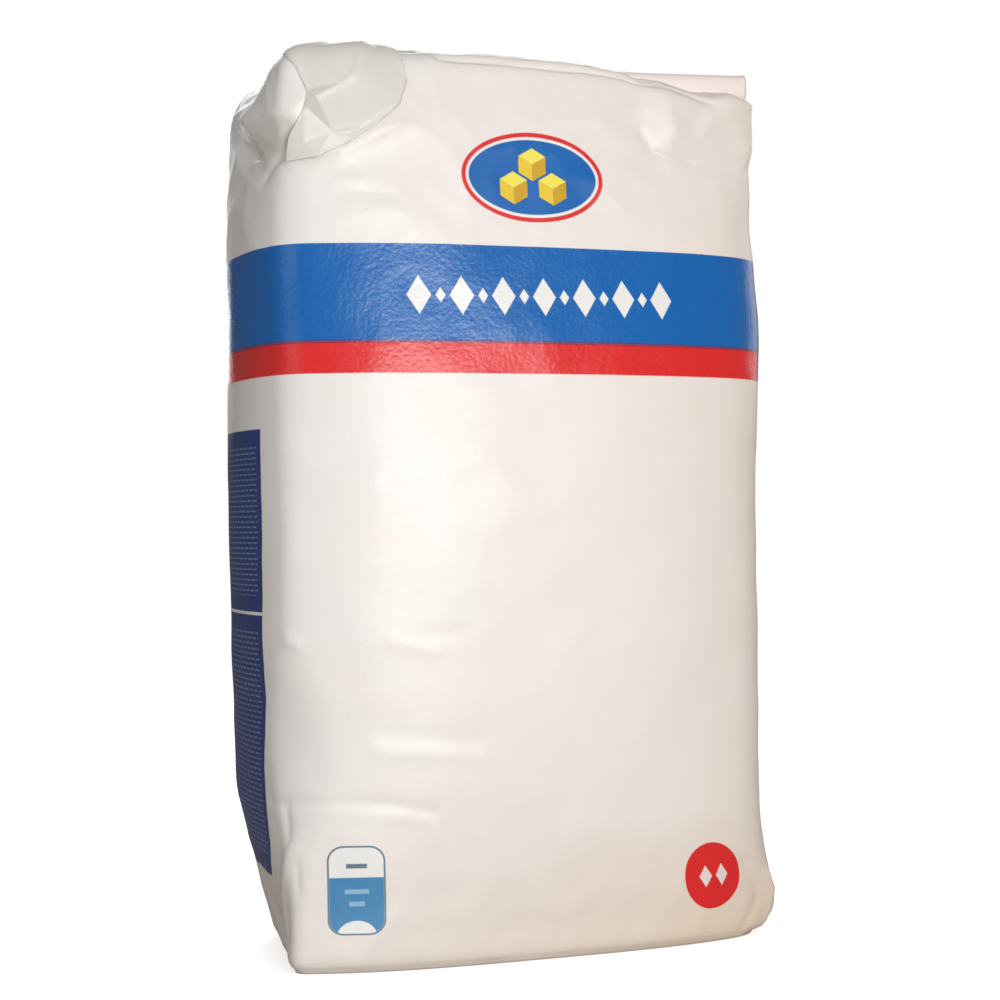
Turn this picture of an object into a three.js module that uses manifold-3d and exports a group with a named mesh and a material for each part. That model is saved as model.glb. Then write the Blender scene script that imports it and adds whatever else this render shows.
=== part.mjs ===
// A one-kilogram paper bag of granulated sugar, standing on its block bottom.
// Millimetres, +Z up. The front panel faces -Y, and +X is to the right of someone who looks at it.
// The origin is under the middle of the bag, on the surface that it stands on.
//
// The paper is followed by two lengths: u runs round the bag, from the front-left crease along
// the front, the right side, the back and the left side, and v runs up the wall. Below v = 0 the
// paper turns under the base, and above v = WALL it turns over the top.
import * as THREE from 'three';
import { mergeVertices } from 'three/addons/utils/BufferGeometryUtils.js';
import Module from 'manifold-3d';

// Driving sizes.
const WIDTH = 103; // between the creases of the front panel
const DEPTH = 48; // between the creases of a side panel
const WALL = 180; // from the base to the top edge

// Worked out from them.
const HALF_WIDTH = WIDTH / 2;
const HALF_DEPTH = DEPTH / 2;
const GIRTH = 2 * (WIDTH + DEPTH);
const RIGHT_START = WIDTH;
const BACK_START = WIDTH + DEPTH;
const LEFT_START = 2 * WIDTH + DEPTH;

// The sugar pushes each panel out between its creases: at the base, half-way up and at the top.
const FRONT_SWELL = { low: 6.5, middle: 10.5, high: 4, power: 3.2 };
const RIGHT_SWELL = { low: 1, middle: 3.5, high: 1, power: 2.2 };
const BACK_SWELL = { low: 3, middle: 8, high: 3, power: 2.6 };
const LEFT_SWELL = { low: 0, middle: 4.6, high: 2, power: 2.2 };
const PANELS = [
  { start: 0, length: WIDTH, out: [0, -1], ...FRONT_SWELL },
  { start: RIGHT_START, length: DEPTH, out: [1, 0], ...RIGHT_SWELL },
  { start: BACK_START, length: WIDTH, out: [0, 1], ...BACK_SWELL },
  { start: LEFT_START, length: DEPTH, out: [-1, 0], ...LEFT_SWELL },
];
const SWELL_FULLNESS = 0.7; // under 1 keeps a panel full nearly to its ends

// How far the creases stray from a plain box.
const LEFT_TUCK = 9; // the back-left corner of the base is pushed in
const LEFT_TUCK_HEIGHT = 32;
const RIGHT_TUCK = 3; // the back-right corner less
const RIGHT_TUCK_HEIGHT = 42;
const BELLY_OUT = 2.4; // the front-right crease bellies out beside the printed bands
const BELLY_V = 125;
const BELLY_REACH = 20;
const DOG_EAR_OUT = 3.2; // the front-right corner of the base folds into a dog-ear
const DOG_EAR_FORWARD = 1.5;
const DOG_EAR_V = 10;
const DOG_EAR_REACH = 13;
const DOG_EAR_START = 7;
const SHOULDER_TUCK = 1.5; // the crumpled top draws the left side in
const SHOULDER_FROM = 158;
const SHOULDER_OVER = 16;

// Half the length of paper that turns each crease, low down and high up.
const CREASES = [
  { u: 0, low: 2, high: 4.5 },
  { u: RIGHT_START, low: 9, high: 12 },
  { u: BACK_START, low: 5, high: 8 },
  { u: LEFT_START, low: 9, high: 9 },
  { u: GIRTH, low: 2, high: 4.5 },
];
const SOFTENS_FROM = 60;
const SOFTENS_OVER = 90;
const PINCH_FROM = 148; // from here up, the folded top sharpens the creases
const PINCH_OVER = 26;
const PINCH_SHARE = 0.85;
const ROUND_SPOT = { v: 42, reach: 17, softness: 8 }; // a rounder stretch of the front-left crease
const BASE_EDGE_SOFTNESS = 2.4;
const TOP_EDGE_SOFTNESS = 4;
const LEFT_TOP_SOFTNESS = 6; // more than that, where the crumpled ear has rounded the left end
const RIGHT_TOP_SOFTNESS = -3; // and less near the sharp front-right corner
const RIGHT_TOP_REACH = 12;

// The top edge isn't level: it drops towards the front-right corner and at the crumpled left end.
const TOP_DROPS = [
  { u: WIDTH, before: 42, after: 40, drop: 5 },
  { u: LEFT_START + 24, before: 26, after: 26, drop: 5.5 },
];
const DROP_HEIGHT = 30;
const CROWN = 1.6; // the middle of the top stands this much above the wall

// The folded closure that lies along the top, and the ear of it that hangs over the front-left corner.
const CLOSURE = { from: -34, to: 50.2, front: -20.8, back: 9, bottom: 175, left: 180.6, right: 181.3 };
const CLOSURE_STEPS = 16;
const LIP_ROUNDING = 1.1;
const LIP_WAVE = 0.5; // how far the lip strays from a straight line
const FLAP_THICKNESS = 0.9; // of the folded layers that lie on the top behind the closure's lip
const EAR_OUTLINE = [
  [-3, 160.5],
  [2.5, 158.5],
  [8.5, 161],
  [15, 164.5],
  [21, 168.5],
  [24, 174],
  [22, 181],
  [16, 186],
  [2, 186],
  [-5, 180],
  [-4, 170],
];
const EAR_LIFT = 2;
const EAR_ROOT = 1.2; // how deep the ear's underside lies in the bag
const EAR_MESH_STEP = 4;
const KNOB = { u: -7, v: 171.5, radius: 6, flatness: 0.55, sink: 0.6 };

// How finely the surface is cut.
const PANEL_STEPS = [24, 12, 20, 12];
const WALL_STEPS = 40;
const RIM_STEPS = 5;
const RIM_SHARE = 0.85; // how much of the way in to the middle the base's and the top's rings go
const CORNER_CROWDING = 0.6; // 0 spaces the columns evenly, 1 crowds them into the creases
const SOFTENING_SAMPLES = 9;

const clamp = (x) => Math.min(1, Math.max(0, x));
const mix = (a, b, share) => a + (b - a) * share;

function smooth(x) {
  const share = clamp(x);
  return share * share * (3 - 2 * share);
}

function hump(x, centre, reach) {
  return Math.exp(-(((x - centre) / reach) ** 2));
}

function roundTheBag(u) {
  return ((u % GIRTH) + GIRTH) % GIRTH;
}

// The shorter way round the bag from one u to another.
function gapRound(u, from) {
  const gap = roundTheBag(u - from);
  return gap > GIRTH / 2 ? gap - GIRTH : gap;
}

// The crease at the start of each panel, at height v.
function creasePoints(v) {
  const leftTuck = LEFT_TUCK * (1 - clamp(v / LEFT_TUCK_HEIGHT));
  const rightTuck = RIGHT_TUCK * (1 - smooth(v / RIGHT_TUCK_HEIGHT));
  const shoulder = SHOULDER_TUCK * smooth((v - SHOULDER_FROM) / SHOULDER_OVER);
  const belly = BELLY_OUT * hump(v, BELLY_V, BELLY_REACH);
  const dogEar = hump(v, DOG_EAR_V, DOG_EAR_REACH) * smooth(v / DOG_EAR_START);
  return [
    [-HALF_WIDTH + shoulder, -HALF_DEPTH],
    [HALF_WIDTH + belly + DOG_EAR_OUT * dogEar, -HALF_DEPTH + DOG_EAR_FORWARD * dogEar],
    [HALF_WIDTH - rightTuck, HALF_DEPTH],
    [-HALF_WIDTH + leftTuck + shoulder, HALF_DEPTH],
  ];
}

// How far a panel stands out at the share t of its width.
function swellOf(panel, t, v) {
  const share = clamp(v / WALL);
  const ends = mix(panel.low, panel.high, share);
  const rise = panel.middle - (panel.low + panel.high) / 2;
  const depth = ends + rise * Math.sin(Math.PI * share) ** SWELL_FULLNESS;
  return depth * (1 - Math.abs(2 * t - 1) ** panel.power);
}

// The section of the bag with every crease sharp.
function sharpSection(u, v) {
  const along = roundTheBag(u);
  const creases = creasePoints(v);
  const index = PANELS.findLastIndex((panel) => along >= panel.start);
  const panel = PANELS[index];
  const t = (along - panel.start) / panel.length;
  const [startX, startY] = creases[index];
  const [endX, endY] = creases[(index + 1) % creases.length];
  const swell = swellOf(panel, t, v);
  return [mix(startX, endX, t) + panel.out[0] * swell, mix(startY, endY, t) + panel.out[1] * swell];
}

function creaseSoftness(u, v) {
  const along = roundTheBag(u);
  const height = smooth((v - SOFTENS_FROM) / SOFTENS_OVER);
  let total = 0;
  let weights = 0;
  for (const crease of CREASES) {
    const weight = 1 / (Math.abs(along - crease.u) + 1) ** 3;
    total += weight * mix(crease.low, crease.high, height);
    weights += weight;
  }
  const pinch = 1 - PINCH_SHARE * smooth((v - PINCH_FROM) / PINCH_OVER);
  const { v: spotV, reach, softness } = ROUND_SPOT;
  const spot = softness * hump(v, spotV, reach) * hump(gapRound(u, 0), 0, reach);
  return (total / weights) * pinch + spot;
}

// The average of a shape over the stretch from -reach to +reach, which rounds its folds.
function softened(shape, reach, size) {
  const sum = new Array(size).fill(0);
  for (let k = 0; k < SOFTENING_SAMPLES; k++) {
    const offset = reach * ((2 * k) / (SOFTENING_SAMPLES - 1) - 1);
    shape(offset).forEach((value, axis) => {
      sum[axis] += value / SOFTENING_SAMPLES;
    });
  }
  return sum;
}

// How far the top edge lies below WALL.
function topDrop(u) {
  return TOP_DROPS.reduce((sum, { u: centre, before, after, drop }) => {
    const gap = gapRound(u, centre);
    const reach = gap < 0 ? before : after;
    return sum + drop * (1 - smooth(Math.abs(gap) / reach));
  }, 0);
}

// The folded paper before its edges are softened: the base, the wall and the top.
function foldedPoint(u, v) {
  const wall = Math.min(WALL, Math.max(0, v));
  const turned = Math.max(-v, 0) + Math.max(v - WALL, 0);
  const share = clamp(turned / HALF_DEPTH);
  const [x, y] = softened((offset) => sharpSection(u + offset, wall), creaseSoftness(u, wall), 2);
  const ridge = HALF_WIDTH - HALF_DEPTH;
  const drop = topDrop(u) * smooth((wall - (WALL - DROP_HEIGHT)) / DROP_HEIGHT);
  const crown = v > WALL ? CROWN * share : 0;
  const ridgeX = Math.min(ridge, Math.max(-ridge, x));
  return [mix(x, ridgeX, share), y * (1 - share), wall - drop * (1 - share) + crown];
}

function edgeSoftness(u, v) {
  if (v < WALL / 2) {
    return BASE_EDGE_SOFTNESS;
  }
  const nearLeft = hump(gapRound(u, LEFT_START + HALF_DEPTH), 0, HALF_DEPTH);
  const nearRight = hump(gapRound(u, RIGHT_START), 0, RIGHT_TOP_REACH);
  return TOP_EDGE_SOFTNESS + LEFT_TOP_SOFTNESS * nearLeft + RIGHT_TOP_SOFTNESS * nearRight;
}

function bagPoint(u, v) {
  const [x, y, z] = softened((offset) => foldedPoint(u, v + offset), edgeSoftness(u, v), 3);
  return new THREE.Vector3(x, y, z);
}

function bagNormal(u, v) {
  const step = 0.5;
  const round = bagPoint(u + step, v).sub(bagPoint(u - step, v));
  const up = bagPoint(u, v + step).sub(bagPoint(u, v - step));
  return round.cross(up).normalize();
}

// The columns of the body's mesh, closer together at the creases.
function columnPositions() {
  return PANELS.flatMap((panel, index) => {
    const steps = PANEL_STEPS[index];
    return Array.from({ length: steps }, (_, k) => {
      const even = k / steps;
      const crowded = (1 - Math.cos(Math.PI * even)) / 2;
      return panel.start + panel.length * mix(even, crowded, CORNER_CROWDING);
    });
  });
}

// The rows of the body's mesh: under the base, up the wall and over the top.
function rowPositions() {
  const rim = HALF_DEPTH * RIM_SHARE;
  const under = Array.from({ length: RIM_STEPS }, (_, k) => -rim * (1 - k / RIM_STEPS) ** 2);
  const wall = Array.from({ length: WALL_STEPS + 1 }, (_, k) => (WALL * k) / WALL_STEPS);
  const over = Array.from({ length: RIM_STEPS }, (_, k) => WALL + rim * ((k + 1) / RIM_STEPS));
  return [...under, ...wall, ...over];
}

function meshOf(points, triangles) {
  const geometry = new THREE.BufferGeometry();
  const numbers = points.flatMap((point) => point.toArray());
  geometry.setAttribute('position', new THREE.Float32BufferAttribute(numbers, 3));
  geometry.setIndex(triangles);
  return geometry;
}

// Rings of points joined into a tube, with a fan of triangles to a middle point at either end.
function closedTube(rings, firstMiddle, lastMiddle) {
  const count = rings[0].length;
  const points = [...rings.flat(), firstMiddle, lastMiddle];
  const first = rings.length * count;
  const last = first + 1;
  const top = (rings.length - 1) * count;
  const triangles = [];
  for (let j = 0; j < count; j++) {
    const next = (j + 1) % count;
    for (let i = 0; i < rings.length - 1; i++) {
      const low = i * count;
      const high = low + count;
      triangles.push(low + j, low + next, high + next);
      triangles.push(low + j, high + next, high + j);
    }
    triangles.push(first, next, j);
    triangles.push(last, top + j, top + next);
  }
  return meshOf(points, triangles);
}

function bodyGeometry() {
  const columns = columnPositions();
  const rings = rowPositions().map((v) => columns.map((u) => bagPoint(u, v)));
  return closedTube(rings, new THREE.Vector3(0, 0, 0), new THREE.Vector3(0, 0, WALL + CROWN));
}

function middleOf(ring) {
  return ring.reduce((sum, point) => sum.add(point), new THREE.Vector3()).divideScalar(ring.length);
}

// The folded closure: a flap that lies on the top, with a rounded lip that turns down at the front.
function closureGeometry() {
  const rings = Array.from({ length: CLOSURE_STEPS + 1 }, (_, k) => {
    const share = k / CLOSURE_STEPS;
    const x = mix(CLOSURE.from, CLOSURE.to, share);
    const top = mix(CLOSURE.left, CLOSURE.right, share);
    const front = CLOSURE.front - LIP_WAVE * Math.sin(3 * Math.PI * share);
    const ridge = WALL + CROWN + FLAP_THICKNESS;
    return [
      [front, CLOSURE.bottom],
      [CLOSURE.back, CLOSURE.bottom],
      [CLOSURE.back, ridge - (CROWN * CLOSURE.back) / HALF_DEPTH],
      [0, ridge],
      [front + LIP_ROUNDING, top],
      [front, top - LIP_ROUNDING],
    ].map(([y, z]) => new THREE.Vector3(x, y, z));
  });
  return closedTube(rings, middleOf(rings[0]), middleOf(rings[CLOSURE_STEPS]));
}

// The loose ear: a sheet that follows the bag's surface inside its outline.
function earGeometry() {
  const shape = new THREE.Shape(EAR_OUTLINE.map(([u, v]) => new THREE.Vector2(u, v)));
  const geometry = new THREE.ExtrudeGeometry(shape, { depth: 1, bevelEnabled: false, steps: 1 });
  const fine = splitLongEdges(weldedGeometry(geometry), EAR_MESH_STEP);
  const position = fine.getAttribute('position');
  for (let i = 0; i < position.count; i++) {
    const u = position.getX(i);
    const v = position.getY(i);
    const lift = position.getZ(i) > 0.5 ? EAR_LIFT : -EAR_ROOT;
    const point = bagPoint(u, v).addScaledVector(bagNormal(u, v), lift);
    position.setXYZ(i, point.x, point.y, point.z);
  }
  return fine;
}

function weldedGeometry(geometry) {
  const bare = geometry.clone();
  bare.deleteAttribute('normal');
  bare.deleteAttribute('uv');
  return mergeVertices(bare, 1e-4);
}

// Cuts every edge longer than a limit in half, in both triangles that share it, until none is left.
function splitLongEdges(geometry, limit) {
  const position = geometry.getAttribute('position');
  const pointAt = (_, i) => new THREE.Vector3().fromBufferAttribute(position, i);
  const points = Array.from({ length: position.count }, pointAt);
  let triangles = [];
  for (let i = 0; i < geometry.index.count; i += 3) {
    triangles.push([0, 1, 2].map((k) => geometry.index.getX(i + k)));
  }
  let cut = true;
  while (cut) {
    cut = false;
    const middles = new Map();
    const halfWay = (a, b) => {
      const key = a < b ? `${a} ${b}` : `${b} ${a}`;
      if (!middles.has(key)) {
        const long = points[a].distanceTo(points[b]) > limit;
        middles.set(key, long ? points.push(points[a].clone().lerp(points[b], 0.5)) - 1 : -1);
      }
      return middles.get(key);
    };
    triangles = triangles.flatMap(([a, b, c]) => {
      const ring = [a, halfWay(a, b), b, halfWay(b, c), c, halfWay(c, a)].filter((i) => i >= 0);
      cut = cut || ring.length > 3;
      return fanOf(ring, points);
    });
  }
  return meshOf(points, triangles.flat());
}

// A ring of 3 to 6 points as triangles, each new one cut from the corner with the shortest diagonal.
function fanOf(ring, points) {
  const left = [...ring];
  const triangles = [];
  while (left.length > 3) {
    const sizes = left.map((_, i) => {
      const before = points[left.at(i - 1)];
      const here = points[left[i]];
      const after = points[left[(i + 1) % left.length]];
      const area = after.clone().sub(here).cross(before.clone().sub(here)).length();
      return area > 1e-3 ? before.distanceTo(after) : Infinity;
    });
    const i = sizes.indexOf(Math.min(...sizes));
    triangles.push([left.at(i - 1), left[i], left[(i + 1) % left.length]]);
    left.splice(i, 1);
  }
  triangles.push(left);
  return triangles;
}

// The crumpled paper where the ear turns round the corner.
function knobGeometry() {
  const geometry = new THREE.IcosahedronGeometry(KNOB.radius, 1);
  geometry.scale(KNOB.flatness, 1, 1);
  const out = bagNormal(KNOB.u, KNOB.v);
  const turn = new THREE.Quaternion().setFromUnitVectors(new THREE.Vector3(1, 0, 0), out);
  geometry.applyQuaternion(turn);
  const centre = bagPoint(KNOB.u, KNOB.v).addScaledVector(out, -KNOB.sink);
  geometry.translate(centre.x, centre.y, centre.z);
  return weldedGeometry(geometry);
}

function solidOf(wasm, geometry) {
  const vertProperties = new Float32Array(geometry.getAttribute('position').array);
  const triVerts = new Uint32Array(geometry.index.array);
  return new wasm.Manifold(new wasm.Mesh({ numProp: 3, vertProperties, triVerts }));
}

function geometryOf(solid) {
  const mesh = solid.getMesh();
  const geometry = new THREE.BufferGeometry();
  geometry.setAttribute('position', new THREE.BufferAttribute(new Float32Array(mesh.vertProperties), 3));
  geometry.setIndex(new THREE.BufferAttribute(new Uint32Array(mesh.triVerts), 1));
  return geometry;
}

// Puts the origin under the middle of the bag.
function centred(geometry) {
  geometry.computeBoundingBox();
  const middle = geometry.boundingBox.getCenter(new THREE.Vector3());
  geometry.translate(-middle.x, -middle.y, -geometry.boundingBox.min.z);
  geometry.computeVertexNormals();
  return geometry;
}

const wasm = await Module();
wasm.setup();

const pieces = [bodyGeometry(), closureGeometry(), earGeometry(), knobGeometry()];
const joined = pieces.map((geometry) => solidOf(wasm, geometry)).reduce((all, solid) => all.add(solid));

const paper = new THREE.MeshStandardMaterial({ color: 0xe9e5de, roughness: 0.55, metalness: 0 });
const bag = new THREE.Mesh(centred(geometryOf(joined)), paper);
bag.name = 'sugar_bag';

const part = new THREE.Group();
part.add(bag);

export default part;
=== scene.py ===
import math

import bpy
import numpy as np
from mathutils import Euler, Matrix, Vector, noise
from mathutils.bvhtree import BVHTree
from mathutils.geometry import delaunay_2d_cdt


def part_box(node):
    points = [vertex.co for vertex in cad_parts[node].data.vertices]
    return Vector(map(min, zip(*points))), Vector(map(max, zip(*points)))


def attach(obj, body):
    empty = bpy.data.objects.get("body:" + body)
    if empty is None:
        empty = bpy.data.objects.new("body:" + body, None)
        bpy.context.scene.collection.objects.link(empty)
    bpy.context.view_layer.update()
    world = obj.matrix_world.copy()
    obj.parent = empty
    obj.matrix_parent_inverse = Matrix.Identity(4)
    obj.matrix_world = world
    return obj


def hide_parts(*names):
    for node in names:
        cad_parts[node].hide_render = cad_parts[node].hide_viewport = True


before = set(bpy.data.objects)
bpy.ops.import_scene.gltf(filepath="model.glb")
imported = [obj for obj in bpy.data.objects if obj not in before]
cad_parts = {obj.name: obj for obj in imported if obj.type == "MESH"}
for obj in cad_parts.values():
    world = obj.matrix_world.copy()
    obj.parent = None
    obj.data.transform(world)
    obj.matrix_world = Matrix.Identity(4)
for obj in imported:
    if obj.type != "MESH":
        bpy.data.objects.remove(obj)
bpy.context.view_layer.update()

# A one-kilogram paper bag of sugar. The paper is followed by two lengths in millimetres: u runs round
# the bag, from the front-left crease along the front, the right side, the back and the left side, and
# v runs up the wall. Below v = 0 the paper turns under the base, above v = WALL over the top.
BAG = "sugar_bag"
MM = 0.001

# Driving sizes, in millimetres, as in the CAD part.
WIDTH = 103.0   # between the creases of the front panel
DEPTH = 48.0    # between the creases of a side panel
WALL = 180.0    # from the base to the top edge
HALF_WIDTH = WIDTH / 2
HALF_DEPTH = DEPTH / 2
GIRTH = 2 * (WIDTH + DEPTH)
RIGHT_START = WIDTH
BACK_START = WIDTH + DEPTH
LEFT_START = 2 * WIDTH + DEPTH

# The sugar pushes each panel out between its creases: at the base, half-way up and at the top.
PANELS = [
    dict(start=0.0, length=WIDTH, out=(0, -1), low=6.5, middle=10.5, high=4.0, power=3.2),
    dict(start=RIGHT_START, length=DEPTH, out=(1, 0), low=1.0, middle=3.5, high=1.0, power=2.2),
    dict(start=BACK_START, length=WIDTH, out=(0, 1), low=3.0, middle=8.0, high=3.0, power=2.6),
    dict(start=LEFT_START, length=DEPTH, out=(-1, 0), low=0.0, middle=4.6, high=2.0, power=2.2),
]
SWELL_FULLNESS = 0.7

# How far the creases stray from a plain box.
LEFT_TUCK, LEFT_TUCK_HEIGHT = 9.0, 32.0
RIGHT_TUCK, RIGHT_TUCK_HEIGHT = 3.0, 42.0
BELLY_OUT, BELLY_V, BELLY_REACH = 2.4, 125.0, 20.0
DOG_EAR_OUT, DOG_EAR_FORWARD = 3.2, 1.5
DOG_EAR_V, DOG_EAR_REACH, DOG_EAR_START = 10.0, 13.0, 7.0
SHOULDER_TUCK, SHOULDER_FROM, SHOULDER_OVER = 1.5, 158.0, 16.0

# Half the length of paper that turns each crease, low down and high up.
CREASES = [
    (0.0, 2.0, 4.5),
    (RIGHT_START, 9.0, 12.0),
    (BACK_START, 5.0, 8.0),
    (LEFT_START, 9.0, 9.0),
    (GIRTH, 2.0, 4.5),
]
SOFTENS_FROM, SOFTENS_OVER = 60.0, 90.0
BASE_EDGE_SOFTNESS = 2.4
TOP_EDGE_SOFTNESS = 4.0
LEFT_TOP_SOFTNESS = 6.0
RIGHT_TOP_SOFTNESS, RIGHT_TOP_REACH = -3.0, 12.0
SOFTENING_SAMPLES = 9
NORMAL_STEP = 0.4
PINCH_FROM, PINCH_OVER, PINCH_SHARE = 148.0, 26.0, 0.85   # the folded top sharpens the creases
# A rounder stretch of the front-left crease.
ROUND_SPOT, ROUND_SPOT_V, ROUND_SPOT_REACH = 8.0, 42.0, 17.0

# The top edge isn't level.
TOP_DROPS = [
    dict(u=WIDTH, before=42.0, after=40.0, drop=5.0),
    dict(u=LEFT_START + 24.0, before=26.0, after=26.0, drop=5.5),
]
DROP_HEIGHT = 30.0
CROWN = 1.6

# The print, in millimetres of paper. Places are (u, v), and sizes are half-widths and half-heights.
RED_LOW, RED_TOP, BLUE_TOP = 116.2, 122.4, 141.5
OVERLAP_BELOW, OVERLAP_ABOVE, OVERLAP_INK = 0.3, 0.35, 0.65   # where the red and blue inks meet
LOZENGES, LOZENGE_START, LOZENGE_PITCH = 7, (24.0, 131.5), 8.4
LOZENGE, SMALL_LOZENGE = (2.4, 3.8), (1.0, 1.5)
EMBLEM, EMBLEM_HALF_WIDTH, EMBLEM_HALF_HEIGHT = (48.6, 155.4), 15.0, 9.0
EMBLEM_RINGS = (0.0, 0.9, 1.5)   # insets of its red, white and blue ovals
CUBES, CUBE_SIDE = ((-4.1, -2.2), (4.1, -2.2), (0.0, 2.6)), 3.3
CUBE_SLENDERNESS = 0.87   # a cube's half-width for each unit of its side
BADGE, BADGE_HALF_WIDTH, BADGE_HALF_HEIGHT = (11.3, 16.3), 5.3, 8.7
BADGE_CORNER, BADGE_INNER_CORNER, BADGE_RIM = 3.0, 2.7, 0.35
BADGE_LEVEL = 18.8   # the top of its blue field
BADGE_HILL_V, BADGE_HILL = 7.2, (3.7, 3.2)
BADGE_BARS, BADGE_BAR_HEIGHT = ((20.6, 1.9), (15.6, 2.2), (13.2, 1.4)), 0.9   # (v, half-width)
DISC, DISC_RADIUS = (85.3, 14.0), 6.9
CRYSTAL, CRYSTAL_SHIFT, CRYSTAL_INK = (1.5, 2.3), 2.0, 0.85
PANEL_HALF_WIDTH, PANEL_LOW, PANEL_HIGH = 13.8, 17.0, 106.0
PANEL_LINE_LOW, PANEL_LINE_HIGH = 69.2, 69.8
# The tucked corner has pushed the left panel aside: (below this v, over this height, by this much).
PANEL_DRIFT, PANEL_PUSH, LOW_PANEL_PUSH = 0.7, (46.0, 14.0, -2.9), (20.0, 8.0, 3.0)
FINE_PRINT_PITCH, FINE_PRINT_WORD, FINE_PRINT_MARGIN = 1.05, 2.7, 2.0
FINE_PRINT_BLOCKS = ((73.0, 103.0), (21.0, 66.0))


def smooth(x):
    x = np.clip(x, 0.0, 1.0)
    return x * x * (3 - 2 * x)


def hump(x, centre, reach):
    return np.exp(-(((x - centre) / reach) ** 2))


def gap_round(u, start):
    """The shorter way round the bag from start to u, negative when u comes first."""
    return np.mod(u - start + GIRTH / 2, GIRTH) - GIRTH / 2


def crease_points(v):
    """The crease at the start of each panel, at height v."""
    zero = np.zeros_like(v)
    left_tuck = LEFT_TUCK * (1 - np.clip(v / LEFT_TUCK_HEIGHT, 0, 1))
    right_tuck = RIGHT_TUCK * (1 - smooth(v / RIGHT_TUCK_HEIGHT))
    shoulder = SHOULDER_TUCK * smooth((v - SHOULDER_FROM) / SHOULDER_OVER)
    belly = BELLY_OUT * hump(v, BELLY_V, BELLY_REACH)
    dog_ear = hump(v, DOG_EAR_V, DOG_EAR_REACH) * smooth(v / DOG_EAR_START)
    front_right = (HALF_WIDTH + belly + DOG_EAR_OUT * dog_ear, -HALF_DEPTH + DOG_EAR_FORWARD * dog_ear)
    return [
        np.stack([shoulder - HALF_WIDTH, zero - HALF_DEPTH], -1),
        np.stack(front_right, -1),
        np.stack([HALF_WIDTH - right_tuck, zero + HALF_DEPTH], -1),
        np.stack([left_tuck + shoulder - HALF_WIDTH, zero + HALF_DEPTH], -1),
    ]


def swell_of(panel, t, v):
    """How far a panel stands out at the share t of its width."""
    share = np.clip(v / WALL, 0, 1)
    ends = panel["low"] + (panel["high"] - panel["low"]) * share
    rise = panel["middle"] - (panel["low"] + panel["high"]) / 2
    depth = ends + rise * np.sin(np.pi * share) ** SWELL_FULLNESS
    return depth * (1 - np.abs(2 * t - 1) ** panel["power"])


def sharp_section(u, v):
    """The section of the bag with every crease sharp."""
    along = np.mod(u, GIRTH)
    creases = crease_points(v)
    points = np.zeros(u.shape + (2,))
    for index, panel in enumerate(PANELS):
        t = (along - panel["start"]) / panel["length"]
        inside = ((t >= 0) & (t < 1))[..., None]
        t = np.clip(t, 0, 1)
        start = creases[index]
        end = creases[(index + 1) % 4]
        swell = swell_of(panel, t, v)[..., None] * np.array(panel["out"])
        points = np.where(inside, start + (end - start) * t[..., None] + swell, points)
    return points


def crease_softness(u, v):
    """Half the length of paper that turns at the nearest crease."""
    along = np.mod(u, GIRTH)
    height = smooth((v - SOFTENS_FROM) / SOFTENS_OVER)
    total = 0.0
    weights = 0.0
    for start, low, high in CREASES:
        weight = 1 / (np.abs(along - start) + 1) ** 3
        total = total + weight * (low + (high - low) * height)
        weights = weights + weight
    pinch = 1 - PINCH_SHARE * smooth((v - PINCH_FROM) / PINCH_OVER)
    near_spot = hump(v, ROUND_SPOT_V, ROUND_SPOT_REACH) * hump(gap_round(u, 0.0), 0, ROUND_SPOT_REACH)
    return total / weights * pinch + ROUND_SPOT * near_spot


def softened(shape, reach):
    """The average of a shape over the stretch from -reach to +reach, which rounds its folds."""
    offsets = np.linspace(-1, 1, SOFTENING_SAMPLES)
    return sum(shape(k * reach) for k in offsets) / SOFTENING_SAMPLES


def top_drop(u):
    """How far the top edge lies below WALL."""
    total = np.zeros_like(u)
    for spot in TOP_DROPS:
        gap = gap_round(u, spot["u"])
        reach = np.where(gap < 0, spot["before"], spot["after"])
        total += spot["drop"] * (1 - smooth(np.abs(gap) / reach))
    return total


def folded_point(u, v):
    """The folded paper before its edges are softened: the base, the wall and the top."""
    wall = np.clip(v, 0, WALL)
    turned = np.maximum(-v, 0) + np.maximum(v - WALL, 0)
    share = np.clip(turned / HALF_DEPTH, 0, 1)
    section = softened(lambda offset: sharp_section(u + offset, wall), crease_softness(u, wall))
    ridge = HALF_WIDTH - HALF_DEPTH
    x = section[..., 0] * (1 - share) + np.clip(section[..., 0], -ridge, ridge) * share
    y = section[..., 1] * (1 - share)
    drop = top_drop(u) * smooth((wall - (WALL - DROP_HEIGHT)) / DROP_HEIGHT)
    crown = np.where(v > WALL, CROWN * share, 0)
    return np.stack([x, y, wall - drop * (1 - share) + crown], -1)


def edge_softness(u, v):
    """Half the length of paper that turns over the base's or the top's edge."""
    near_left = hump(gap_round(u, LEFT_START + HALF_DEPTH), 0, HALF_DEPTH)
    near_right = hump(gap_round(u, RIGHT_START), 0, RIGHT_TOP_REACH)
    top = TOP_EDGE_SOFTNESS + LEFT_TOP_SOFTNESS * near_left + RIGHT_TOP_SOFTNESS * near_right
    return np.where(v < WALL / 2, BASE_EDGE_SOFTNESS, top)


def paper_point(u, v):
    """The smooth bag, before wrinkles."""
    return softened(lambda offset: folded_point(u, v + offset), edge_softness(u, v))


def unit(vectors):
    return vectors / np.maximum(np.linalg.norm(vectors, axis=-1, keepdims=True), 1e-9)


def paper_normal(u, v):
    round_way = paper_point(u + NORMAL_STEP, v) - paper_point(u - NORMAL_STEP, v)
    up_way = paper_point(u, v + NORMAL_STEP) - paper_point(u, v - NORMAL_STEP)
    return unit(np.cross(round_way, up_way))


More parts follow.
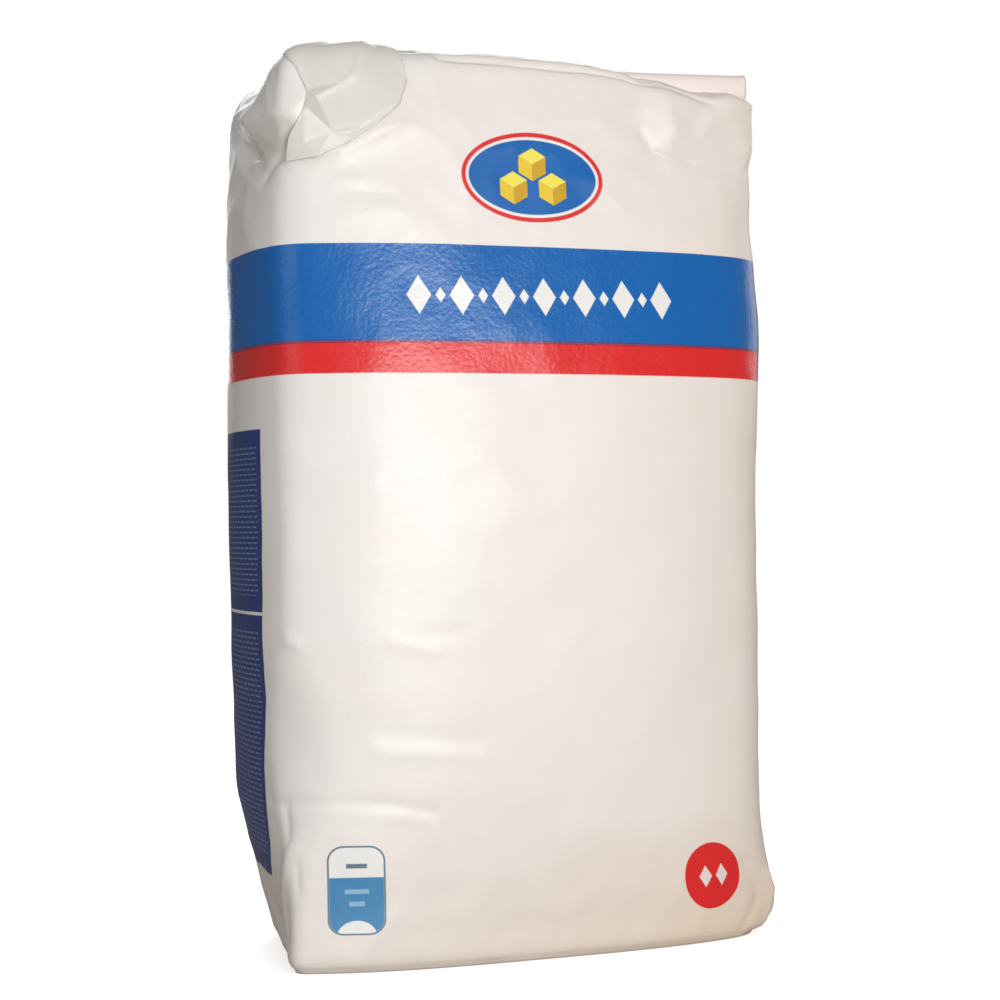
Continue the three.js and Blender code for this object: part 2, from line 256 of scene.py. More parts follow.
# Folds and wrinkles: (points along the fold in (u, v), height, width). A negative height is a valley.
FOLDS = [
    # The corner below the loose ear.
    ([(10, 159), (21, 165)], 0.5, 1.8),
    ([(-40, 175.3), (-34, 172.8), (-28, 169.5), (-22, 165.5), (-15, 163.2)], -1.7, 0.9),
    ([(-1.5, 160.5), (-8, 156)], -0.7, 1.3),
    ([(9.5, 154), (13.5, 153.8)], 0.25, 1.2),
    ([(10, 151.6), (19.5, 151.2)], -0.2, 1.2),
    # The dent in the upper right of the front.
    ([(73.4, 166.8), (75.6, 163), (79, 162), (85, 162)], -0.5, 0.8),
    ([(106, 175), (108, 166)], -1.5, 6.0),
    # Along the front edge of the top.
    ([(30, 180.2), (44, 179.8), (56, 179.3), (72, 179.4)], -1.4, 1.0),
    ([(72, 179.4), (90, 177.4)], -0.7, 1.0),
    ([(77, 182), (89, 182)], -1.6, 5.0),
    # The front, lower down.
    ([(18.5, 64.5), (26.5, 62)], 0.2, 1.6),
    ([(25.5, 66), (31.5, 65.5)], -0.15, 1.4),
    ([(15, 43.3), (24, 42.5), (35.5, 41.3)], 0.2, 1.6),
    ([(17, 46.2), (26, 45.6), (34, 44.8)], -0.12, 1.5),
    ([(-9.5, 32.8), (-4, 32.6), (10, 33.2), (18, 32.8), (26, 31)], -0.34, 1.0),
    ([(-6, 31.0), (10, 31.6), (24, 29.8)], 0.1, 1.1),
    ([(26, 31), (28.5, 27), (27.5, 23)], -0.16, 1.8),
    ([(-3.6, 31.5), (-2.6, 26)], -0.4, 1.2),
    ([(0.4, 21), (0.6, 16)], -0.3, 0.8),
    ([(-1, 64.8), (1.2, 63.8)], 0.5, 0.9),
    # The lower part of the left side.
    ([(-2, 24), (-7, 12), (-3, 1)], 0.5, 2.0),
    ([(-30, 14), (-12, 6)], -0.9, 2.5),
    # The dog-ear.
    ([(94, 15), (98, 8), (95, 1)], -0.5, 2.0),
    ([(102, 12), (104, 6), (103, 2)], 0.7, 1.5),
    ([(103.5, 8.5), (104, 5)], 1.3, 3.0),
]


# Crumpled places as nets of flat facets: (u, v, lift). The outer points lie on the smooth paper.
CORNER_NET = [
    (-46, 183, 0), (-44, 172, 0), (-30, 165, 0), (-18, 157, 0), (-8, 152, 0), (3, 151, 0), (8, 158, 0),
    (14, 165, 0), (18, 178, 0), (10, 189, 0), (-10, 190, 0), (-36, 190, 0),
    (-40, 175.5, -0.6), (-34, 172.8, -1.6), (-28, 169.5, -1.9), (-22, 165.5, -1.9), (-14, 163, -1.7),
    (-3.3, 160.2, -1.2), (0.5, 162, -0.8),
    (-36, 178, 2.0), (-27, 174.3, 3.2), (-14, 169.4, 3.2), (0.5, 166, 2.4), (3, 169.5, 2.6),
    (-14, 177, 1.6), (-26, 181, 1.5), (-4, 180, 1.8), (-16, 185, 1.0), (-33, 186, 0.8),
]
DENT_NET = [
    (60, 182, 0), (64, 168, 0), (69, 158, 0), (80, 153, 0), (96, 152, 0), (110, 158, 0), (114, 178, 0),
    (104, 190, 0), (76, 190, 0),
    (73, 172, -0.3), (73.5, 166.5, -0.6), (75.5, 162.8, -0.9), (80, 160.5, -0.5), (86, 162, -1.2),
    (95, 161.3, -1.1), (103.5, 163, -0.5), (79, 174, 1.1), (80.5, 168.5, 1.0), (79.5, 165, 0.2),
    (86, 170, 0.2), (88, 179, 0.8), (96, 177, 0.7), (103.5, 175, 0.1),
]
CRUMPLED_NETS = [(CORNER_NET, 0.45), (DENT_NET, 0.7)]   # with the roundness of their folds
BLUR_SAMPLES = 8
EAR_NET = [
    (-1.5, 180, 1.6), (3.2, 170.5, 3.0), (3, 167.5, 3.0), (1, 162, 2.0), (0.3, 157.3, 1.2),
    (6, 158.2, 0.8), (11.5, 160.8, 0.6), (16.8, 164.6, 0.6), (21, 168.5, 0.6), (22.4, 173.5, 0.6),
    (21.5, 178.5, 0.7), (20.5, 187, 1.0), (12, 189, 0.9), (0, 189, 0.4),
    (5, 169, 4.7), (9.5, 171.5, 4.6), (12.2, 173.5, 4.5), (13.2, 178, 3.4), (14, 184, 1.6),
    (8.5, 162.8, 1.6), (3.5, 160.8, 2.6), (17.5, 178.5, 1.6),
]
EAR_OUTLINE = 14   # how many points of EAR_NET lie along its edge, in order
EAR_FOLDS = [(2, 14), (14, 15), (15, 16), (16, 17), (17, 18), (2, 20), (14, 19), (16, 21)]


def net_triangles(net, outline=0, creases=()):
    """The corners of a net's facets. With an outline, facets outside its first points are left out."""
    spots = [Vector(point[:2]) for point in net]
    ring = [list(range(outline))] if outline else []
    kept, _, faces, sources, _, _ = delaunay_2d_cdt(spots, creases, ring, 1 if outline else 0, 1e-5)
    return [[(kept[i].x, kept[i].y, net[sources[i][0]][2]) for i in face] for face in faces]


def net_lift(u, v, net):
    """The lift of a net's facets at each place, and 0 outside it."""
    gap = gap_round(u, 0.0) if net[0][0] < 0 else u
    total = np.zeros_like(u)
    for (ax, ay, a), (bx, by, b), (cx, cy, c) in net_triangles(net):
        area = (bx - ax) * (cy - ay) - (cx - ax) * (by - ay)
        share_b = ((gap - ax) * (cy - ay) - (cx - ax) * (v - ay)) / area
        share_c = ((bx - ax) * (v - ay) - (gap - ax) * (by - ay)) / area
        inside = (share_b >= 0) & (share_c >= 0) & (share_b + share_c <= 1)
        total = np.where(inside, a + (b - a) * share_b + (c - a) * share_c, total)
    return total


def blurred(u, v, shape, reach):
    """A shape averaged over a small disc, which rounds its folds."""
    turns = [2 * math.pi * k / BLUR_SAMPLES for k in range(BLUR_SAMPLES)]
    ring = [shape(u + reach * math.cos(turn), v + reach * math.sin(turn)) for turn in turns]
    return (sum(ring) + shape(u, v)) / (BLUR_SAMPLES + 1)


def distance_to_path(u, v, path):
    """The shortest distance on the paper to a line through the path's points."""
    best = np.full(u.shape, 1e9)
    for (u0, v0), (u1, v1) in zip(path, path[1:]):
        along = np.array([u1 - u0, v1 - v0], float)
        du = gap_round(u, u0)
        dv = v - v0
        share = np.clip((du * along[0] + dv * along[1]) / (along @ along), 0, 1)
        best = np.minimum(best, np.hypot(du - share * along[0], dv - share * along[1]))
    return best


def crest(distance, width):
    """The section of a fold: 1 on its line, falling to nothing on either side."""
    return np.exp(-((distance / width) ** 1.5))


def fold_relief(u, v, folds):
    """How far the folds lift the paper."""
    total = np.zeros_like(u)
    for path, height, width in folds:
        total += height * crest(distance_to_path(u, v, path), width)
    return total


def noise_field(points, size, seed):
    """Smooth noise between about -1 and 1, with bumps of the given size in millimetres."""
    offset = Vector((seed * 17.3, seed * 7.9, seed * 3.1))
    flat = (points / size).reshape(-1, 3)
    values = [noise.noise(Vector(p) + offset) for p in flat.tolist()]
    return np.array(values).reshape(points.shape[:-1])


def crumple(points, size, seed):
    """Sharp-crested creases such as paper keeps after it has been crushed."""
    return 1 - 2 * np.abs(noise_field(points, size, seed)) ** 0.8


# Unevenness: (size, height) of the sugar's lumps, and (size, height everywhere, more near the top, more
# near the base) of the paper's creases.
LUMPS = [(26, 0.35), (11, 0.18)]
WRINKLES = [(17, 0.10, 0.45, 0.25), (7, 0.03, 0.12, 0.06)]
TOP_WRINKLES_FROM, TOP_WRINKLES_OVER, BASE_WRINKLES_TO = 130, 45, 40
SEAM_EDGE, SEAM_WIDTH, SEAM_STEP, SEAM_SLOPE = BACK_START + HALF_WIDTH + 6.0, 12.0, 0.3, 0.5
GUSSET_DEPTH, GUSSET_WIDTH = 0.5, 1.1
GUSSETS_FROM, GUSSETS_OVER = 2, 5   # above the top edge


def seam(u):
    """The glued lap up the middle of the back: a step at its free edge, fading towards its root."""
    behind = SEAM_EDGE - np.mod(u, GIRTH)
    step = SEAM_STEP * np.clip(behind / SEAM_SLOPE, 0, 1)
    return step * (1 - smooth((behind - SEAM_WIDTH / 2) / SEAM_WIDTH))


def gussets(u, v):
    """The diagonal folds that the side panels make where they turn over the top."""
    over_top = v - WALL
    total = np.zeros_like(u)
    for start in (0.0, RIGHT_START, BACK_START, LEFT_START):
        distance = (np.abs(gap_round(u, start)) - over_top) * math.sqrt(0.5)
        total -= GUSSET_DEPTH * crest(np.abs(distance), GUSSET_WIDTH)
    return total * smooth((over_top - GUSSETS_FROM) / GUSSETS_OVER)


def relief(u, v, points):
    """How far the paper stands out of the smooth bag."""
    near_top = smooth((v - TOP_WRINKLES_FROM) / TOP_WRINKLES_OVER)
    near_base = 1 - smooth(v / BASE_WRINKLES_TO)
    total = fold_relief(u, v, FOLDS) + gussets(u, v) + seam(u)
    for seed, (size, height) in enumerate(LUMPS, 1):
        total += height * noise_field(points, size, seed)
    for seed, (size, height, top_height, base_height) in enumerate(WRINKLES, 1 + len(LUMPS)):
        total += crumple(points, size, seed) * (height + top_height * near_top + base_height * near_base)
    for net, reach in CRUMPLED_NETS:
        total += blurred(u, v, lambda a, b: net_lift(a, b, net), reach)
    on_wall = smooth((v + 1) / 4)
    return total * on_wall


def mesh_object(name, points, faces, uvs=None):
    """A smooth-shaded object from points in millimetres. uvs holds (u, v) for each face corner."""
    mesh = bpy.data.meshes.new(name)
    mesh.from_pydata([tuple(p) for p in (points * MM).tolist()], [], faces)
    if uvs is not None:
        layer = mesh.uv_layers.new(name="paper")
        layer.data.foreach_set("uv", np.asarray(uvs, dtype=np.float32).ravel())
    mesh.polygons.foreach_set("use_smooth", [True] * len(mesh.polygons))
    mesh.validate()
    piece = bpy.data.objects.new(name, mesh)
    bpy.context.scene.collection.objects.link(piece)
    return piece


# Stretches of the body's mesh: (from, to, step), finer where the paper is crumpled or seen closest.
SEAM_BEGINS, SEAM_ENDS = BACK_START + 54, BACK_START + 60
COLUMN_STRETCHES = [
    (0, 40, 0.5),
    (40, RIGHT_START, 0.8),
    (RIGHT_START, BACK_START, 1.1),
    (BACK_START, SEAM_BEGINS, 1.5),
    (SEAM_BEGINS, SEAM_ENDS, 0.5),
    (SEAM_ENDS, LEFT_START, 1.6),
    (LEFT_START, LEFT_START + 18, 1.0),
    (LEFT_START + 18, GIRTH, 0.55),
]
ROW_STRETCHES = [
    (0, 140, 0.95),
    (140, WALL, 0.5),
    (WALL, WALL + 12, 0.75),
    (WALL + 12, WALL + 0.97 * HALF_DEPTH, 1.1),
]
UNDER_ROWS, UNDER_SHARE = 8, 0.93   # rows under the base, and how much of the way in they go
BASE_RECESS = 0.6   # how far the middle of the base is drawn up above its rim
RIM_WIDTH, RIM_SLOPE = 3, 3


def stations(stretches):
    """Evenly spaced places along each stretch."""
    parts = []
    for start, end, step in stretches:
        parts.append(np.linspace(start, end, round((end - start) / step), endpoint=False))
    return np.concatenate(parts)


def row_positions():
    """Heights for the rows of the body's mesh: under the base, up the wall and over the top."""
    under = -UNDER_SHARE * HALF_DEPTH * (1 - np.arange(UNDER_ROWS) / UNDER_ROWS) ** 2
    return np.concatenate([under, stations(ROW_STRETCHES)])


def surface_normals(points):
    """Outward normals of a grid of points whose columns run all the way round."""
    round_way = np.roll(points, -1, 1) - np.roll(points, 1, 1)
    up_way = np.gradient(points, axis=0)
    return unit(np.cross(round_way, up_way))


def grid_faces(rows, columns):
    """The faces of a grid of points, each as four (row, column) corners."""
    faces = []
    for i in range(rows - 1):
        for j in range(columns - 1):
            faces.append(((i, j), (i, j + 1), (i + 1, j + 1), (i + 1, j)))
    return faces


def turned_over(faces):
    """The same faces, seen from the other side."""
    return [(a, d, c, b) for a, b, c, d in faces]


def make_body():
    """The bag with its wrinkles, as a closed mesh. The smooth bag's points are returned too."""
    columns = stations(COLUMN_STRETCHES)
    rows = row_positions()
    u, v = np.meshgrid(columns, rows)
    smooth_points = paper_point(u, v)
    points = smooth_points + surface_normals(smooth_points) * relief(u, v, smooth_points)[..., None]
    points[..., 2] = np.maximum(points[..., 2], 0)
    points[..., 2] = np.where(v < 0, BASE_RECESS * smooth((-v - RIM_WIDTH) / RIM_SLOPE), points[..., 2])
    count = len(columns)
    edge_u = np.append(columns, GIRTH)
    faces = []
    uvs = []
    for corners in grid_faces(len(rows), count + 1):
        faces.append(tuple(i * count + j % count for i, j in corners))
        uvs += [(edge_u[j], rows[i]) for i, j in corners]
    flat = points.reshape(-1, 3)
    for row, inward in ((0, True), (len(rows) - 1, False)):
        ring = list(range(row * count, (row + 1) * count))
        centre = len(flat)
        flat = np.vstack([flat, flat[ring].mean(0)])
        for j in range(count):
            side = (ring[j], ring[(j + 1) % count])
            faces.append((centre, *(side[::-1] if inward else side)))
            uvs += [(edge_u[j], rows[row])] * 3
    return flat, faces, uvs, smooth_points.reshape(-1, 3)


PAPER_THICKNESS = 0.24
EAR_CUTS = 14   # steps along each side of an ear facet
EAR_CLEARANCE = 0.22   # between the middle of the ear's paper and the bag, where it rests on it
EAR_SOFTENING_ROUNDS = 3


def add_thickness(piece, thickness):
    """Gives a sheet its thickness, as real geometry."""
    solid = piece.modifiers.new("thickness", "SOLIDIFY")
    solid.thickness = thickness * MM
    solid.offset = 0.0
    bpy.context.view_layer.objects.active = piece
    piece.select_set(True)
    bpy.ops.object.modifier_apply(modifier=solid.name)
    piece.select_set(False)


def cut_facet(a, b, c, first):
    """A facet cut into small triangles: its spots, and faces that count the spots from first."""
    spots = []
    starts = []
    for i in range(EAR_CUTS + 1):
        starts.append(first + len(spots))
        for j in range(EAR_CUTS + 1 - i):
            spots.append(a + (b - a) * i / EAR_CUTS + (c - a) * j / EAR_CUTS)
    faces = []
    for i in range(EAR_CUTS):
        for j in range(EAR_CUTS - i):
            faces.append((starts[i] + j, starts[i + 1] + j, starts[i] + j + 1))
            if j < EAR_CUTS - i - 1:
                faces.append((starts[i + 1] + j, starts[i + 1] + j + 1, starts[i] + j + 1))
    return spots, faces


def welded(spots, faces):
    """Joins the spots that lie in the same place."""
    keys = {}
    index = []
    for spot in np.array(spots).round(4).tolist():
        index.append(keys.setdefault(tuple(spot), len(keys)))
    return np.array(list(keys)), [tuple(index[k] for k in face) for face in faces]


def soften_lift(lift, faces, rounds):
    """Rounds the folds of a sheet by averaging each lift with its neighbours'."""
    pairs = np.array([(face[k], face[(k + 1) % 3]) for face in faces for k in range(3)])
    pairs = np.vstack([pairs, pairs[:, ::-1]])
    counts = np.bincount(pairs[:, 0], minlength=len(lift))
    for _ in range(rounds):
        sums = np.bincount(pairs[:, 0], weights=lift[pairs[:, 1]], minlength=len(lift))
        lift = (lift + sums / counts) / 2
    return lift


def make_ear():
    """The loose tongue of the closure that hangs over the front-left top corner."""
    spots = []
    faces = []
    for facet in net_triangles(EAR_NET, EAR_OUTLINE, EAR_FOLDS):
        new_spots, new_faces = cut_facet(*np.array(facet), len(spots))
        spots += new_spots
        faces += new_faces
    spots, faces = welded(spots, faces)
    u, v, lift = spots.T
    lift = soften_lift(lift, faces, EAR_SOFTENING_ROUNDS)
    ground = paper_point(u, v)
    resting = relief(u, v, ground) + EAR_CLEARANCE
    points = ground + paper_normal(u, v) * np.maximum(lift, resting)[:, None]
    uvs = [(u[k], v[k]) for face in faces for k in face]
    return points, faces, uvs


# The block bottom: two glued flaps with slanting ends, which overlap along the middle.
BASE_MARGIN, BASE_OVERLAP = 3.0, 5.0
FRONT_FLAP_HEIGHT, BACK_FLAP_HEIGHT = 0.42, 0.14   # of the middle of their paper
BASE_FLAP_ROWS, BASE_FLAP_COLUMNS = 12, 60


def make_base_flap(left, right, outward, height):
    """A flap of the base between two corners. It reaches outward to y = HALF_DEPTH or -HALF_DEPTH."""
    reach = HALF_DEPTH - BASE_MARGIN + BASE_OVERLAP
    rows = []
    for i in range(BASE_FLAP_ROWS + 1):
        inset = BASE_MARGIN + reach * i / BASE_FLAP_ROWS
        x = np.linspace(left[0] + inset, right[0] - inset, BASE_FLAP_COLUMNS + 1)
        rows.append(np.stack([x, 0 * x + outward * (HALF_DEPTH - inset), 0 * x + height], -1))
    count = BASE_FLAP_COLUMNS + 1
    faces = []
    for corners in turned_over(grid_faces(BASE_FLAP_ROWS + 1, count)):
        faces.append(tuple(i * count + j for i, j in corners))
    return np.array(rows).reshape(-1, 3), faces, None


# The closure: a flap that comes over from the back fold, lies on the top and, at its right end, turns
# down in a lip behind the front edge. A second layer lies under it.
FLAP_LEFT, FLAP_RIGHT = -34.0, 50.2
FLAP_FRONT, FLAP_BACK = -20.8, 22.0
FLAP_LEFT_TOP, FLAP_RIGHT_TOP, FLAP_SAG = 180.6, 181.3, 0.5
FLAP_STEPS = 150
FLAP_CLEARANCE, LAYER_STEP = 0.22, 0.32
INNER_BACK, INNER_SHORTER, INNER_GAP = 12.0, 1.6, 0.8
CLOSURE_V = WALL + 30   # where its paper lies past the top edge
LIP_FROM, LIP_OVER = -4.0, 26.0   # the lip begins here and reaches its full depth this much further right
# The section of the lip: how far behind the front, and how far below the top, each point lies.
LIP_SECTION = [(2.2, -5.5), (0.3, -4.9), (0.0, -3.7), (0.0, -2.6), (0.0, -1.6)]
LIP_TURN, LIP_TURN_STEPS = 1.6, 5
LIP_ROWS = len(LIP_SECTION) + LIP_TURN_STEPS
LIP_WAVE_HEIGHT, LIP_WAVE_SIZE, LIP_WAVE_SEED = 0.5, 22, 9
FLAP_LUMP_HEIGHT, FLAP_LUMP_SIZE, FLAP_LUMP_SEED = 0.35, 16, 5
FLAP_ROWS = 26
SETTLING_ROWS = 8   # this many rows behind the lip, the flap has come down onto the bag
TUCKED_ROWS, TUCK_DEPTH = 4, 1.1   # the last rows of the outer layer run down into the back fold


def flap_section(back):
    """The closure's section from the lip to the back, as (distance behind the front, height)."""
    points = list(LIP_SECTION)
    for k in range(1, LIP_TURN_STEPS + 1):
        turn = math.pi / 2 * k / LIP_TURN_STEPS
        points.append((LIP_TURN * (1 - math.cos(turn)), LIP_TURN * (math.sin(turn) - 1)))
    length = back - FLAP_FRONT - LIP_TURN
    points += [(LIP_TURN + length * k / FLAP_ROWS, 0.0) for k in range(1, FLAP_ROWS + 1)]
    return points


def roof_height(tree, x, y):
    """The height of the bag's top at each place."""
    heights = []
    for place in zip(x.tolist(), y.tolist()):
        hit = tree.ray_cast(Vector((*place, 2 * WALL)), Vector((0, 0, -1)))[0]
        heights.append(hit.z if hit else 0.0)
    return np.array(heights)


def lay_on_bag(points, hang, layer, tree):
    """Brings a layer of the closure to rest on the bag's top, except where it hangs down in the lip."""
    first_tucked = len(points) - TUCKED_ROWS
    for k, row in enumerate(points):
        bag = roof_height(tree, row[:, 0], row[:, 1]) + FLAP_CLEARANCE + LAYER_STEP * (1 - layer)
        resting = np.maximum(row[:, 2], bag)
        resting += (bag - resting) * smooth((k - LIP_ROWS) / SETTLING_ROWS)
        if layer == 0 and k >= first_tucked:
            resting -= TUCK_DEPTH * (k - first_tucked + 1) / TUCKED_ROWS
        share = 1 - hang if k < LIP_ROWS else 1.0
        row[:, 2] += (resting - row[:, 2]) * share


def make_closure(layer, tree):
    """One layer of the closure over the bag's surface. Layer 0 is the outer one, layer 1 lies under it."""
    x = np.linspace(FLAP_LEFT, FLAP_RIGHT - INNER_SHORTER * layer, FLAP_STEPS)
    share = (x - FLAP_LEFT) / (FLAP_RIGHT - FLAP_LEFT)
    top = FLAP_LEFT_TOP + (FLAP_RIGHT_TOP - FLAP_LEFT_TOP) * share - FLAP_SAG * np.sin(np.pi * share)
    hang = smooth((x - LIP_FROM) / LIP_OVER)
    waves = LIP_WAVE_HEIGHT * noise_field(np.stack([x, 0 * x, 0 * x], -1), LIP_WAVE_SIZE, LIP_WAVE_SEED)
    rows = []
    for k, (behind, below) in enumerate(flap_section(INNER_BACK if layer else FLAP_BACK)):
        y = FLAP_FRONT + behind + 0 * x
        if k < LIP_ROWS:
            lying = FLAP_FRONT + LIP_TURN * (k / LIP_ROWS)
            y = lying + (y - lying) * hang + INNER_GAP * layer + waves
        rows.append(np.stack([x, y, top + below * hang - INNER_GAP * layer], -1))
    points = np.array(rows)
    points[..., 2] += FLAP_LUMP_HEIGHT * noise_field(points * (1, 1, 0), FLAP_LUMP_SIZE, FLAP_LUMP_SEED)
    lay_on_bag(points, hang, layer, tree)
    faces = []
    uvs = []
    for corners in turned_over(grid_faces(len(points), FLAP_STEPS)):
        faces.append(tuple(i * FLAP_STEPS + j for i, j in corners))
        uvs += [(points[i, j, 0] + HALF_WIDTH, CLOSURE_V + points[i, j, 1]) for i, j in corners]
    return points.reshape(-1, 3), faces, uvs


def place_in_frame(points):
    """The shift from the paper's own axes to the frame, found from the CAD node's right and front."""
    low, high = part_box(BAG)
    return np.array([high.x / MM - points[:, 0].max(), low.y / MM - points[:, 1].min(), 0.0])


# ---------------------------------------------------------------------------------------------
# Materials


class Field:
    """A number that varies over a surface, written as arithmetic and built as Math nodes."""

    def __init__(self, tree, socket):
        self.tree = tree
        self.socket = socket

    def math(self, operation, *others, clamp=False):
        node = self.tree.nodes.new("ShaderNodeMath")
        node.operation = operation
        node.use_clamp = clamp
        for slot, value in zip(node.inputs, (self, *others)):
            if isinstance(value, Field):
                self.tree.links.new(value.socket, slot)
            else:
                slot.default_value = value
        return Field(self.tree, node.outputs[0])

    def __add__(self, other):
        return self.math("ADD", other)

    def __sub__(self, other):
        return self.math("SUBTRACT", other)

    def __mul__(self, other):
        return self.math("MULTIPLY", other)

    def __truediv__(self, other):
        return self.math("DIVIDE", other)

    def __or__(self, other):
        return self.math("MAXIMUM", other)

    def size(self):
        return self.math("ABSOLUTE")

    def clamped(self):
        return self.math("ADD", 0.0, clamp=True)


EDGE = 0.16  # how softly the ink ends, in millimetres


def over(field, level, edge=EDGE):
    """1 where the field is above the level."""
    return ((field - level) / edge + 0.5).clamped()


def under(field, level, edge=EDGE):
    """1 where the field is below the level."""
    return ((field - level) / -edge + 0.5).clamped()


def between(field, low, high):
    return over(field, low) * under(field, high)


def diamond(u, v, centre, half_width, half_height):
    du = (u - centre[0]).size() / half_width
    dv = (v - centre[1]).size() / half_height
    reach = min(half_width, half_height)
    return under((du + dv) * reach, reach)


def oval(u, v, centre, half_width, half_height):
    du = (u - centre[0]) / half_width
    dv = (v - centre[1]) / half_height
    reach = min(half_width, half_height)
    return under((du * du + dv * dv).math("SQRT") * reach, reach)


def rounded_box(u, v, centre, half_width, half_height, radius):
    du = ((u - centre[0]).size() - (half_width - radius)) | 0.0
    dv = ((v - centre[1]).size() - (half_height - radius)) | 0.0
    return under((du * du + dv * dv).math("SQRT"), radius)


def cube_fields(u, v, centre, side):
    """A cube seen corner on: a top face and two side faces."""
    half = side * CUBE_SLENDERNESS
    du = (u - centre[0]) / half
    slope = du.size() * (side / 2)
    dv = v - centre[1]
    across = under(du.size(), 1.0, EDGE / half)
    top = across * under(dv + slope, side) * over(dv - slope, 0.0)
    wall = across * under(dv - slope, 0.0) * over(dv - slope, -side)
    return [
        (top, CUBE_TOP),
        (wall * under(du, 0.0, EDGE / half), CUBE_LEFT),
        (wall * over(du, 0.0, EDGE / half), CUBE_RIGHT),
    ]


def mixed(tree, factor, first, second):
    """Blends two colours, each a socket or an RGB tuple."""
    node = tree.nodes.new("ShaderNodeMix")
    node.data_type = "RGBA"
    tree.links.new(factor.socket, node.inputs[0])
    for value, slot in ((first, node.inputs[6]), (second, node.inputs[7])):
        if isinstance(value, tuple):
            slot.default_value = (*value, 1)
        else:
            tree.links.new(value, slot)
    return node.outputs[2]


def linear(red, green, blue):
    """An 8-bit sRGB colour as linear values."""
    def one(value):
        share = value / 255
        return share / 12.92 if share <= 0.04045 else ((share + 0.055) / 1.055) ** 2.4
    return one(red), one(green), one(blue)


PAPER_WHITE = linear(244, 242, 240)
# Painted warm light: the paper tinted warmer where light from the right falls, mixed with random tone.
PAPER_WARM_LIGHT_AND_TONE = linear(244, 234, 225)
# Painted shade: darker, warmer paper along the base, stronger towards the right.
PAPER_PAINTED_LOW_SHADE = linear(226, 202, 174)
PAPER_LOOSE = linear(233, 231, 226)    # unprinted paper: the ear, the closure and the base's flaps
PAPER_SHADED = linear(227, 225, 219)
# Painted warm light on the unprinted paper, stronger towards the right.
PLAIN_PAPER_WARM_LIGHT = linear(247, 237, 231)
PRINT_WHITE = linear(244, 244, 242)
BAND_BLUE = linear(0, 103, 184)
BAND_RED = linear(230, 40, 42)
INK_OVERLAP = linear(96, 26, 70)
PANEL_BLUE = linear(28, 60, 128)
PANEL_PALE = linear(112, 130, 172)
BADGE_BLUE = linear(70, 140, 190)
BADGE_LINE = linear(104, 128, 150)
BADGE_PALE = linear(150, 190, 215)
CUBE_TOP = linear(250, 236, 90)
CUBE_LEFT = linear(240, 206, 40)
CUBE_RIGHT = linear(214, 168, 24)


def new_material(name):
    material = bpy.data.materials.new(name)
    material.use_nodes = True
    return material, material.node_tree, material.node_tree.nodes["Principled BSDF"]


def noise_node(tree, coordinates, scale, detail=2.0):
    node = tree.nodes.new("ShaderNodeTexNoise")
    node.inputs["Scale"].default_value = scale
    node.inputs["Detail"].default_value = detail
    tree.links.new(coordinates, node.inputs["Vector"])
    return Field(tree, node.outputs["Fac"])


def bump(tree, height, distance, normal=None):
    """A bump of the given depth in metres, over another one if that is given."""
    node = tree.nodes.new("ShaderNodeBump")
    node.inputs["Distance"].default_value = distance
    tree.links.new(height.socket, node.inputs["Height"])
    if normal is not None:
        tree.links.new(normal, node.inputs["Normal"])
    return node.outputs["Normal"]


def union(shapes):
    total = shapes[0]
    for shape in shapes[1:]:
        total = total | shape
    return total


def band_layers(u, v):
    """The blue band with its row of plain white lozenges, and the red band below it."""
    overlap = between(v, RED_TOP - OVERLAP_BELOW, RED_TOP + OVERLAP_ABOVE) * OVERLAP_INK
    start, height = LOZENGE_START
    lozenges = []
    for k in range(LOZENGES):
        lozenges.append(diamond(u, v, (start + LOZENGE_PITCH * k, height), *LOZENGE))
    for k in range(LOZENGES - 1):
        lozenges.append(diamond(u, v, (start + LOZENGE_PITCH * (k + 0.5), height), *SMALL_LOZENGE))
    return [
        (between(v, RED_TOP, BLUE_TOP), BAND_BLUE),
        (between(v, RED_LOW, RED_TOP), BAND_RED),
        (overlap, INK_OVERLAP),
        (union(lozenges), PRINT_WHITE),
    ]


def emblem_layers(u, v):
    """Three sugar cubes on a blue oval with a thin red line round it."""
    layers = []
    for inset, colour in zip(EMBLEM_RINGS, (BAND_RED, PRINT_WHITE, BAND_BLUE)):
        ring = oval(u, v, EMBLEM, EMBLEM_HALF_WIDTH - inset, EMBLEM_HALF_HEIGHT - inset)
        layers.append((ring, colour))
    for du, dv in CUBES:
        layers += cube_fields(u, v, (EMBLEM[0] + du, EMBLEM[1] + dv), CUBE_SIDE)
    return layers


def badge_layers(u, v):
    """The badge near the bottom left: a white window over a blue field with a white hill."""
    outer = rounded_box(u, v, BADGE, BADGE_HALF_WIDTH, BADGE_HALF_HEIGHT, BADGE_CORNER)
    inner_size = (BADGE_HALF_WIDTH - BADGE_RIM, BADGE_HALF_HEIGHT - BADGE_RIM)
    inner = rounded_box(u, v, BADGE, *inner_size, BADGE_INNER_CORNER)
    layers = [
        (outer, BADGE_LINE),
        (inner, PRINT_WHITE),
        (inner * under(v, BADGE_LEVEL), BADGE_BLUE),
        (inner * oval(u, v, (BADGE[0], BADGE_HILL_V), *BADGE_HILL), PRINT_WHITE),
    ]
    for low, half in BADGE_BARS:
        bar = under((u - BADGE[0]).size(), half) * between(v, low, low + BADGE_BAR_HEIGHT)
        layers.append((bar, BADGE_LINE if low > BADGE_LEVEL else BADGE_PALE))
    return layers


def disc_layers(u, v):
    """The red disc near the bottom right, with two white crystals."""
    layers = [(oval(u, v, DISC, DISC_RADIUS, DISC_RADIUS), BAND_RED)]
    for shift in (-CRYSTAL_SHIFT, CRYSTAL_SHIFT):
        crystal = diamond(u, v, (DISC[0] + shift, DISC[1]), *CRYSTAL)
        layers.append((crystal * CRYSTAL_INK, PRINT_WHITE))
    return layers


